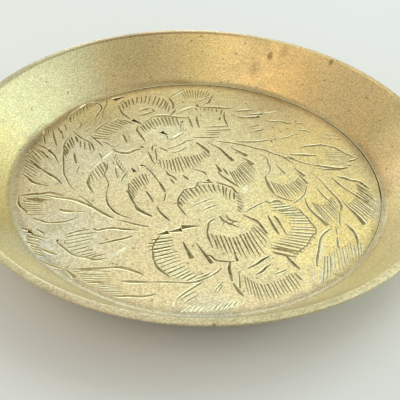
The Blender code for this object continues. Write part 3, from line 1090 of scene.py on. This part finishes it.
innerLeftPetal = {
    "lines": [
        (0.4, [(-24.4, 7), (-23.5, 4.9)]),
        (0.6, [(-25.2, -1.5), (-25.6, -3.8), (-25.2, -5.3), (-24.5, -6.8), (-23.5, -8.4)]),
        (0.34, [(-22.9, 3.5), (-21.8, 1.2), (-22, -1.3), (-21.2, -3.2), (-20.6, -5.1), (-20.7, -7.6)]),
        (0.42, [(-20.7, -7.6), (-20.4, -9.9), (-19.8, -11.8), (-18.5, -13.8), (-16.8, -15.3),
                (-14.1, -16.4)]),
        (0.4, [(-17, -0.2), (-17.5, -1.8), (-17.8, -4)]),
        (0.4, [(-20, 4.1), (-19, 2), (-17.6, 0)]),
        (0.35, [(-19.9, 1.6), (-19.4, -0.4), (-18.8, -2.4)]),
    ],
    "black": [(0.35, [(-20.7, 3.9), (-20.4, 3)])],
    "glints": [
        (0.2, [(-21.3, 7.9), (-22.4, 6.2), (-23.4, 4.4)]),
        (0.16, [(-23.5, 4.2), (-24.4, 2), (-25.2, 0.2)]),
        (0.24, [(-21.5, 7.2), (-20.7, 5.4), (-20.3, 4.4)]),
        (0.35, [(-19.4, 3.9), (-18.3, 2), (-17.2, 0.4)]),
    ],
    "bright": [
        (0.4, [(-19.5, 0.9), (-19, -0.6), (-18.5, -2.3)]),
        (0.4, [(-16.7, -0.4), (-17.2, -3), (-17.6, -5.3)]),
    ],
    "hatches": [(8, 0.36, [(-21.9, 3.1), (-23.2, 3.2), (-24.2, 2), (-25.3, -0.4), (-25.6, -2)],
                 [(-21.5, 0.6), (-22, -2.8), (-23, -3.9), (-24.2, -4.8), (-24.8, -5)])],
    "faintHatches": [(7, 0.4, [(-20.3, 6.6), (-18.6, 3.4), (-16.9, 0.3)],
                      [(-20.4, 4.6), (-18.9, 1.4), (-17.4, -2)])],
    "brightHatches": [
        (4, 0.3, [(-21.2, 3.9), (-19.9, 1.2)], [(-20.6, 0.8), (-19.9, -1.6)]),
        (6, 0.26, [(-20.1, 6.2), (-18.4, 3), (-16.8, 0.2)], [(-20.2, 4.4), (-18.7, 1.2), (-17.2, -2)]),
    ],
}

innerRightPetal = {
    "lines": [
        (0.4, [(-12.5, 2), (-11.8, 1.2), (-11, 0.1), (-10.2, -1.3), (-9.1, -3.2)]),
        (0.6, [(-9.1, -3.2), (-8.1, -5.1), (-7.4, -6.8)]),
        (0.4, [(-7.4, -7), (-7.3, -8.4), (-7.5, -10.1)]),
        (0.5, [(-16, -4.5), (-15.6, -7.6), (-15, -9.3), (-14.1, -11.1), (-13.6, -12)]),
        (0.7, [(-13.7, -12), (-13, -13.1), (-11.6, -14.2), (-9.6, -15.4)]),
        (0.5, [(-11.8, -6.8), (-10.8, -8.4), (-9.8, -10.5)]),
        (0.5, [(-8.9, -12), (-7.9, -14), (-6.8, -15.3), (-5.8, -16.5)]),
    ],
    "black": [
        (0.6, [(-12.5, 2.3), (-13.2, 2.7), (-14, 3)]),
        (0.8, [(-16, 1.7), (-15.5, 1), (-15, 0.2)]),
        (0.5, [(-7, -15.1), (-6.8, -15.6)]),
    ],
    "bright": [(0.35, [(-14.8, 2.6), (-14.3, 1.3), (-14.6, -0.4)]), (0.3, [(-12, 2.6), (-10.6, 0.4)])],
    "hatches": [(10, 0.34, [(-12.6, -0.1), (-14.7, -1.6), (-15.9, -4.4), (-16.1, -7)],
                 [(-11.2, -3.9), (-12.8, -5.9), (-13.8, -7.8), (-14.2, -10)])],
}

motifs = [
    topLeftPetal, upperEdgeLeaf, leftPetal, upperMiddlePetal, lowerMiddlePetal, rightUpperPetal,
    topCentreLeaf,
    topRightLeaves, rightLeaf, rightMiddleLeaf, rightSpray, farRightSpray, lowerRightGrass, flowerTopPetal,
    flowerHeart, flowerRightPetal, flowerLeftPetal, flowerBottomPetal, bottomLeaf, stems, bottomLeftLeaf,
    lowerLeftLeaf, lowerEdgeLeaf, longLeftLeaf, leftEdgeLeaf, leftMiddleLeaf, innerLeftPetal,
    innerRightPetal,
]

# the fine line round the floor: degrees from +X, counted anticlockwise, with its width and its sort of cut
footLine = {
    "radius": 42.2,
    "middle": (0.3, -0.15),
    "step": 4,
    "jogShare": 0.15,
    "endShare": 0.4,
    # the black arc behind is dirt in the groove with painted shade, where the groove faces away from the
    # light
    "arcs": [(-36, -10, 0.22, darkCut), (-10, 132, 0.38, blackCut)],
}

burin = {
    # half of the cut's section at 1 mm of width, from the bottom of the V up: a steep V, then the worn edge
    # beside it, and last the part of the cutter that stands over the floor
    "section": [(0, -0.36), (0.48, -0.06), (0.80, 0.006), (0.88, 0.30)],
    "acrossShare": 0.28,        # the photo's slant hides this share of the width of strokes across the view
    "shortStrokeShares": (0, 0.3, 0.7, 1),
    "wedgeShares": (0.2, 0.85),         # a wedge's width at its start, and what it gains to its end
    "endShare": 0.5,
    "lineJogShare": 0.14,
    "tipRise": 0.01 * mm,       # the burin leaves the metal a little before the stroke's end
    "resolution": 3,
    "seed": 11,
    "sampleStep": 0.15,         # strokes are compared at points this far apart
    "apart": 0.12,              # and cut in one pass only where they are further apart than this
    "weld": 0.001 * mm,
    "wornEdgeTilt": math.radians(27),       # faces of a cut that lie flatter than this are its worn edges
}

hatching = {
    "alongShares": (0, 0.3, 0.7, 1),
    "widthShares": (0.85, 1.05, 0.9, 0.35),
    "widthShare": 0.88,
    "bowShare": 0.03,
    "slipShares": (0.04, 0.09),         # how far the strokes miss the edges they start and end at
    "strokeJogShare": 0.2,
    "pointJogShare": 0.12,
    "wobble": 0.06,
}

# what each list of a motif is: its share of the written width, its sort of cut, and whether it swells
lineSorts = {
    "lines": (1, darkCut, False),
    "wedges": (1, darkCut, True),
    "black": (1, blackCut, True),
    "faint": (0.7, darkCut, False),
    # bright strokes are bright cut metal with painted glints
    "bright": (1, freshCutAndGlint, False),
    # glints: painted highlights, cut in the pale brass of the worn edges
    "glints": (1, wornEdgeAndGlint, False),
}
# bright hatches are bright cut metal with painted glints
hatchSorts = {"hatches": (1, darkCut), "faintHatches": (0.75, darkCut), "brightHatches": (1, freshCutAndGlint)}

chance = random.Random(burin["seed"])


def jog(amount):
    return chance.uniform(-amount, amount)


def pointAlong(points, share):
    # a point on a polyline, by its share of the length
    lengths = [math.dist(a, b) for a, b in zip(points, points[1:])]
    left = share * sum(lengths)
    for (a, b), length in zip(zip(points, points[1:]), lengths):
        if left <= length:
            t = left / length if length else 0
            return a[0] + (b[0] - a[0]) * t, a[1] + (b[1] - a[1]) * t
        left -= length
    return points[-1]


def acrossView(points):
    # strokes that run across the view get wider
    return 1 + burin["acrossShare"] * abs(points[-1][0] - points[0][0]) / math.dist(points[0], points[-1])


def lineStroke(width, points, tone, swells):
    path = points
    if len(points) <= 3:        # a short stroke gets two more points, so that its width can swell
        path = [pointAlong(points, share) for share in burin["shortStrokeShares"]]
    last = len(path) - 1
    widths = []
    for step in range(len(path)):
        if swells:
            size = burin["wedgeShares"][0] + burin["wedgeShares"][1] * (step / last)
        elif step in (0, last):
            size = burin["endShare"]
        else:
            size = 1.0 + jog(burin["lineJogShare"])
        widths.append(width * size * acrossView(points))
    return {"path": path, "widths": widths, "tone": tone}


def footStroke(first, last, width, tone):
    count = int((last - first) / footLine["step"])
    middleX, middleY = footLine["middle"]
    path = []
    for step in range(count + 1):
        angle = math.radians(first + (last - first) * step / count)
        path.append((middleX + footLine["radius"] * math.cos(angle),
                     middleY + footLine["radius"] * math.sin(angle)))
    widths = [width * (1 + jog(footLine["jogShare"])) for point in path]
    widths[0] = widths[-1] = width * footLine["endShare"]
    return {"path": path, "widths": widths, "tone": tone}


def hatchStrokes(count, width, fromEdge, toEdge, tone):
    strokes = []
    for step in range(count):
        start = pointAlong(fromEdge, step / (count - 1))
        end = pointAlong(toEdge, step / (count - 1))
        run = math.dist(start, end)
        along = ((end[0] - start[0]) / run, (end[1] - start[1]) / run)
        bow = jog(hatching["bowShare"]) * run
        startSlip, endSlip = [jog(share) * run for share in hatching["slipShares"]]
        path = []
        for at, slip in zip(hatching["alongShares"], (startSlip, 0, 0, endSlip)):
            side = bow * (1 - (2 * at - 1) ** 2) + jog(hatching["wobble"])
            path.append((start[0] + along[0] * (run * at + slip) - along[1] * side,
                         start[1] + along[1] * (run * at + slip) + along[0] * side))
        uneven = 1 + jog(hatching["strokeJogShare"])
        size = width * hatching["widthShare"] * uneven * acrossView([start, end])
        widths = [size * part * (1 + jog(hatching["pointJogShare"])) for part in hatching["widthShares"]]
        strokes.append({"path": path, "widths": widths, "tone": tone})
    return strokes


def allStrokes():
    strokes = [footStroke(*arc) for arc in footLine["arcs"]]
    for motif in motifs:
        for sort, (share, tone, swells) in lineSorts.items():
            for width, points in motif.get(sort, ()):
                strokes.append(lineStroke(width * share, points, tone, swells))
        for sort, (share, tone) in hatchSorts.items():
            for count, width, fromEdge, toEdge in motif.get(sort, ()):
                strokes += hatchStrokes(count, width * share, fromEdge, toEdge, tone)
    return strokes


def strokeSamples(stroke):
    # points along a stroke with half its width there, to find the strokes that cross it
    samples = []
    path, widths = stroke["path"], stroke["widths"]
    reach = burin["section"][-1][0]
    for (a, b), (wa, wb) in zip(zip(path, path[1:]), zip(widths, widths[1:])):
        steps = max(2, int(math.dist(a, b) / burin["sampleStep"]))
        for step in range(steps + 1):
            t = step / steps
            half = (wa + (wb - wa) * t) * reach
            samples.append((a[0] + (b[0] - a[0]) * t, a[1] + (b[1] - a[1]) * t, half))
    return samples


def sortIntoPasses(strokes):
    # strokes that cross each other are cut in different passes
    samples = [strokeSamples(stroke) for stroke in strokes]
    tree = kdtree.KDTree(sum(len(points) for points in samples))
    owners, halves = [], []
    for index, points in enumerate(samples):
        for x, y, half in points:
            tree.insert((x, y, 0), len(owners))
            owners.append(index)
            halves.append(half)
    tree.balance()
    widest = max(halves)
    passes, passOf = [], {}
    for index, points in enumerate(samples):
        taken = set()
        for x, y, half in points:
            for place, found, distance in tree.find_range((x, y, 0), half + widest + burin["apart"]):
                other = owners[found]
                if other in passOf and other != index and distance < half + halves[found] + burin["apart"]:
                    taken.add(passOf[other])
        number = 0
        while number in taken:
            number += 1
        if number == len(passes):
            passes.append([])
        passes[number].append(strokes[index])
        passOf[index] = number
    return passes


def makeBurinTip():
    half = burin["section"]
    outline = half + [(-x, y) for x, y in reversed(half[1:])]
    curve = bpy.data.curves.new("burin_tip", "CURVE")
    curve.dimensions = "2D"
    spline = curve.splines.new("POLY")
    spline.points.add(len(outline) - 1)
    for point, (x, y) in zip(spline.points, outline):
        point.co = (x * mm, y * mm, 0, 1)
    spline.use_cyclic_u = True
    return addObject("burin_tip", curve)


def makeCutter(strokes, tip):
    curve = bpy.data.curves.new("cutter", "CURVE")
    curve.dimensions = "3D"
    curve.twist_mode = "Z_UP"
    curve.bevel_mode = "OBJECT"
    curve.bevel_object = tip
    curve.use_fill_caps = True
    curve.resolution_u = burin["resolution"]
    for material in dishMaterials:
        curve.materials.append(material)
    for stroke in strokes:
        spline = curve.splines.new("BEZIER")
        last = len(stroke["path"]) - 1
        spline.bezier_points.add(last)
        spline.material_index = stroke["tone"]
        for index, (x, y) in enumerate(stroke["path"]):
            point = spline.bezier_points[index]
            rise = burin["tipRise"] if index in (0, last) else 0
            point.co = (x * mm, y * mm, insideHeight(math.hypot(x, y) * mm) + rise)
            point.radius = stroke["widths"][index]
            point.handle_left_type = "AUTO"
            point.handle_right_type = "AUTO"
    pick(addObject("cutter", curve))
    bpy.ops.object.convert(target="MESH")
    cutter = bpy.context.object
    editAll(cutter)
    bpy.ops.mesh.remove_doubles(threshold=burin["weld"])
    closeEdit()
    return cutter


def cutAway(piece, cutter):
    pick(piece)
    before = len(piece.data.polygons)
    modifier = piece.modifiers.new("engraving", "BOOLEAN")
    modifier.operation = "DIFFERENCE"
    modifier.solver = "MANIFOLD"
    modifier.object = cutter
    bpy.ops.object.modifier_apply(modifier=modifier.name)
    print("  cut,", before, "to", len(piece.data.polygons), "faces")
    bpy.data.objects.remove(cutter, do_unlink=True)


def engrave(piece):
    tip = makeBurinTip()
    strokes = allStrokes()
    passes = sortIntoPasses(strokes)
    print("engraving", len(strokes), "strokes in", len(passes), "passes")
    for group in passes:
        cutAway(piece, makeCutter(group, tip))
    bpy.data.objects.remove(tip, do_unlink=True)
    # the flat edges of the cuts have been polished bright by years of use
    flat = math.cos(burin["wornEdgeTilt"])
    for face in piece.data.polygons:
        if face.material_index in (darkCut, blackCut) and face.normal.z > flat:
            face.material_index = wornEdgeAndGlint


engrave(dishPiece)


# Pits in the old brass, by their place on the floor or the wall

pits = {
    "floor": [(33.1, -3.8), (0.9, -36.9), (4.7, -33.4), (-20.1, -17.3), (-0.6, -24.1), (28.9, 7.2),
              (39.2, 2.9), (40.4, 0.2), (6.3, -39.3), (-24.3, -20.2), (18.1, -30.9)],
    "wall": [(-0.6, 48.9), (-2, 48), (0.1, 47.1), (2.9, 44), (-3.7, 44), (13.9, 46.7), (11.5, 49.9),
             (27.7, 37.6), (29.6, 32.9), (44.7, 3.6), (44.1, -5.3), (38.3, 33.7)],
    "radius": 0.17 * mm,
    "jogShare": 0.3,
    "sinkShare": 0.6,           # the punch's centre stands off the surface by this share of the radius
    "rounding": 2,
}


def makePits(piece):
    cutters = []
    for x, y in pits["floor"] + pits["wall"]:
        deselectAll()
        size = pits["radius"] * (1 + jog(pits["jogShare"]))
        height = insideHeight(math.hypot(x, y) * mm) + pits["sinkShare"] * size
        bpy.ops.mesh.primitive_ico_sphere_add(
            subdivisions=pits["rounding"], radius=size, location=(x * mm, y * mm, height))
        ball = bpy.context.object
        for material in dishMaterials:
            ball.data.materials.append(material)
        for face in ball.data.polygons:
            face.material_index = darkCut
        cutters.append(ball)
    pick(cutters[0])
    for ball in cutters:
        ball.select_set(True)
    bpy.ops.object.join()
    cutAway(piece, bpy.context.object)


def smoothDish(piece):
    pick(piece)
    bpy.ops.object.shade_smooth_by_angle(angle=dish["smooth"])
    # the edges of every cut are crisp
    slots = {}
    for face in piece.data.polygons:
        for key in face.edge_keys:
            slots.setdefault(key, set()).add(face.material_index)
    for edge in piece.data.edges:
        if len(slots[edge.key]) > 1:
            edge.use_edge_sharp = True
    piece.data.update()


def countOpenEdges(piece):
    mesh = bmesh.new()
    mesh.from_mesh(piece.data)
    count = sum(1 for edge in mesh.edges if not edge.is_manifold)
    mesh.free()
    return count


makePits(dishPiece)
smoothDish(dishPiece)
print("dish engraved,", len(dishPiece.data.polygons), "faces,", countOpenEdges(dishPiece), "open edges")


# The felt pad glued under the dish

def makeFelt():
    radius, low, high = feltHigh.x, feltLow.z, feltHigh.z
    cap = radius * felt["capShare"]
    rings = [(cap, low)]
    rings += roundCorner((0, low), (radius, low), (radius, high), felt["edgeRound"], felt["edgeSteps"])
    rings += roundCorner((radius, low), (radius, high), (0, high), felt["edgeRound"], felt["edgeSteps"])
    piece = turnedPiece("felt_pad_disc", rings + [(cap, high)], felt["steps"])
    piece.data.materials.append(feltMaterial)
    pick(piece)
    bpy.ops.object.shade_smooth_by_angle(angle=felt["smooth"])
    return piece


feltPiece = makeFelt()
print("felt pad made")

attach(dishPiece, "root")
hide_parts("dish_body")
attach(feltPiece, "root")
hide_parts("felt_pad")


# Stage and light

studio = {
    "floorSize": 4,
    "floorDrop": 0.02 * mm,
    "floorColour": (0.80, 0.78, 0.75),
    "floorPatches": (0.82, 0.80, 0.77),
    "floorRoughness": 0.9,
    "floorNoise": (6, 2.0, 0.55),
    "floorBlend": (0.3, 0.7),
    "world": (0.60, 0.63, 0.605),
    "worldStrength": 1.0,
    "lampSize": 0.8,
    "lampDistance": 1.4,
}

# each softbox: compass angle from straight behind the dish, height angle, power and colour
lamps = {
    "behindHigh": (0, 55, 1.15, (0.97, 1.0, 0.97)),
    "behindLow": (-8, 8, 6.6, (0.72, 0.93, 1.0)),
    "behindRightHigh": (45, 55, 2.9, (0.73, 0.94, 1.0)),
    "behindRightLow": (45, 8, 2.2, (0.70, 0.92, 1.0)),
    "rightLow": (74, 8, 10.3, (0.70, 0.92, 1.0)),
    "behindLeftLow": (-45, 8, 2.5, (1.0, 0.90, 0.76)),
    "frontLeftHigh": (221, 55, 2.5, (1.0, 0.86, 0.68)),
}


def makeStage():
    deselectAll()
    bpy.ops.mesh.primitive_plane_add(size=studio["floorSize"], location=(0, 0, -studio["floorDrop"]))
    floor = bpy.context.object
    floor.name = "stage_floor"
    material, tree, shader = newMaterial("pale_floor", studio["floorColour"], studio["floorRoughness"], 0.0)
    patches = remap(tree, noise(tree, objectPlace(tree), *studio["floorNoise"]), *studio["floorBlend"])
    tone = mixColour(tree, patches, studio["floorColour"], studio["floorPatches"])
    tree.links.new(tone, shader.inputs["Base Color"])
    floor.data.materials.append(material)
    bpy.ops.object.transform_apply(location=True, rotation=True, scale=True)


def makeLights():
    world = bpy.data.worlds.new("studio")
    bpy.context.scene.world = world
    world.use_nodes = True
    background = world.node_tree.nodes["Background"]
    background.inputs["Color"].default_value = (*studio["world"], 1)
    background.inputs["Strength"].default_value = studio["worldStrength"]
    for name, (side, rise, power, colour) in lamps.items():
        side, rise = math.radians(side), math.radians(rise)
        outward = Vector((math.sin(side) * math.cos(rise), math.cos(side) * math.cos(rise), math.sin(rise)))
        data = bpy.data.lights.new(name, "AREA")
        data.shape = "DISK"
        data.size = studio["lampSize"]
        data.energy = power
        data.color = colour
        light = addObject(name, data)
        light.location = Vector((0, 0, floorHeight)) + outward * studio["lampDistance"]
        light.rotation_euler = (-outward).to_track_quat("-Z", "Y").to_euler()


makeStage()
makeLights()
bpy.context.scene.view_settings.view_transform = "Standard"
print("stage and lights set")

bpy.context.view_layer.update()
